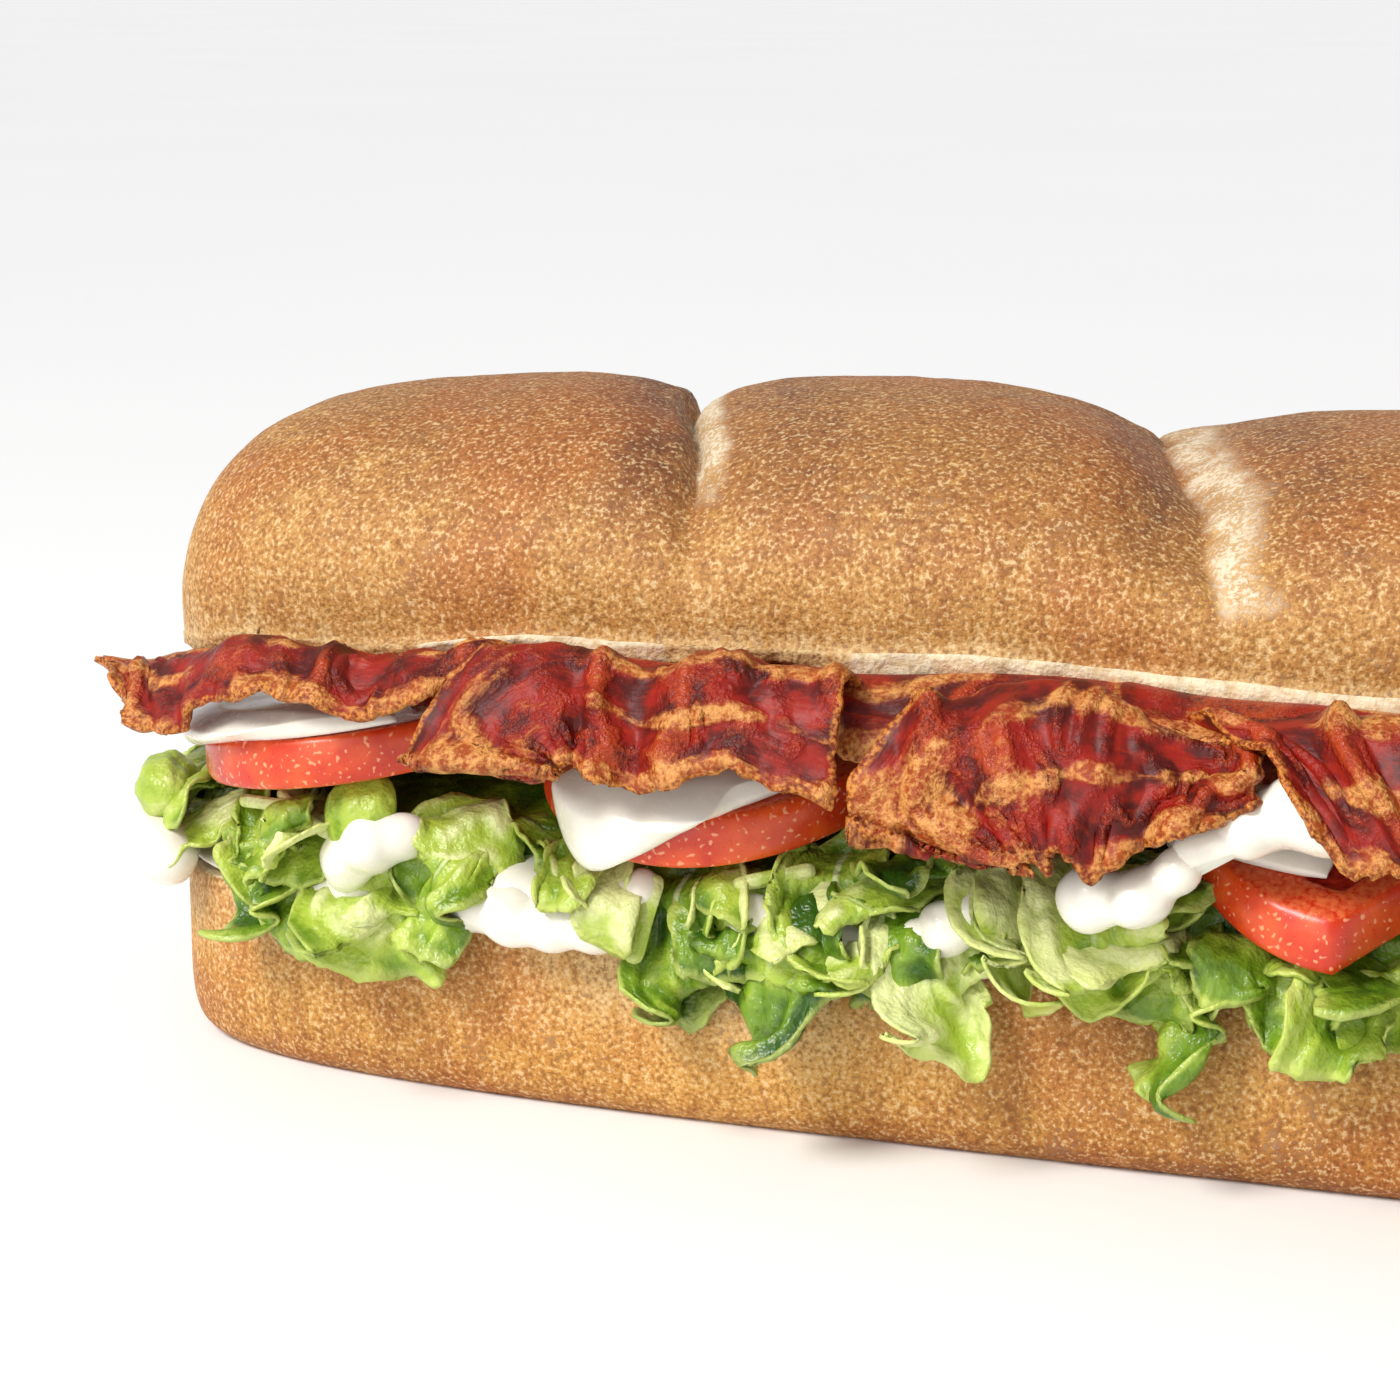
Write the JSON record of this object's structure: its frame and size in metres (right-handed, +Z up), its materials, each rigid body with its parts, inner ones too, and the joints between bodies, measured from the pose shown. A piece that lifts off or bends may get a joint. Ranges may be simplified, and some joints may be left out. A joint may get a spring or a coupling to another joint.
{
  "type": "bacon lettuce and tomato sandwich",
  "caption": "Long scored bread roll, cut lengthways and filled with lettuce, slices of tomato, mayonnaise and rippled strips of bacon that hang out along both sides.",
  "frame": {"origin": "middle of the flat base of the bottom half of the roll", "axes": "+X along the roll, with the end that the picture shows at -X; -Y towards the side that the picture shows; +Z up"},
  "size_m": [0.3142, 0.1128, 0.0827],
  "materials": {
    "crust": "matte baked crust with a fine grain",
    "tomato": "wet and glossy",
    "mayonnaise": "smooth and glossy",
    "bacon": "greasy, with crisp edges",
    "lettuce": "satin leaf"
  },
  "bodies": {
    "root": {"bread_top": "crust", "bread_bottom": "crust", "mayonnaise_lower": "mayonnaise", "lettuce": "lettuce", "tomato_a_front": "tomato", "tomato_b_front": "tomato", "tomato_c_front": "tomato", "tomato_d_front": "tomato", "tomato_e_front": "tomato", "tomato_f_front": "tomato", "mayonnaise_a_front": "mayonnaise", "mayonnaise_b_front": "mayonnaise", "mayonnaise_c_front": "mayonnaise", "mayonnaise_e_front": "mayonnaise", "bacon_1_front": "bacon", "bacon_2_front": "bacon", "bacon_3_front": "bacon", "bacon_4_front": "bacon", "bacon_5_front": "bacon", "bacon_6_front": "bacon", "bacon_7_front": "bacon", "bacon_8_front": "bacon", "bacon_9_front": "bacon", "tomato_a_back": "tomato", "tomato_b_back": "tomato", "tomato_c_back": "tomato", "tomato_d_back": "tomato", "tomato_e_back": "tomato", "tomato_f_back": "tomato", "mayonnaise_a_back": "mayonnaise", "mayonnaise_b_back": "mayonnaise", "mayonnaise_c_back": "mayonnaise", "mayonnaise_e_back": "mayonnaise", "bacon_1_back": "bacon", "bacon_2_back": "bacon", "bacon_3_back": "bacon", "bacon_4_back": "bacon", "bacon_5_back": "bacon", "bacon_6_back": "bacon", "bacon_7_back": "bacon", "bacon_8_back": "bacon", "bacon_9_back": "bacon"}
  },
  "joints": []
}
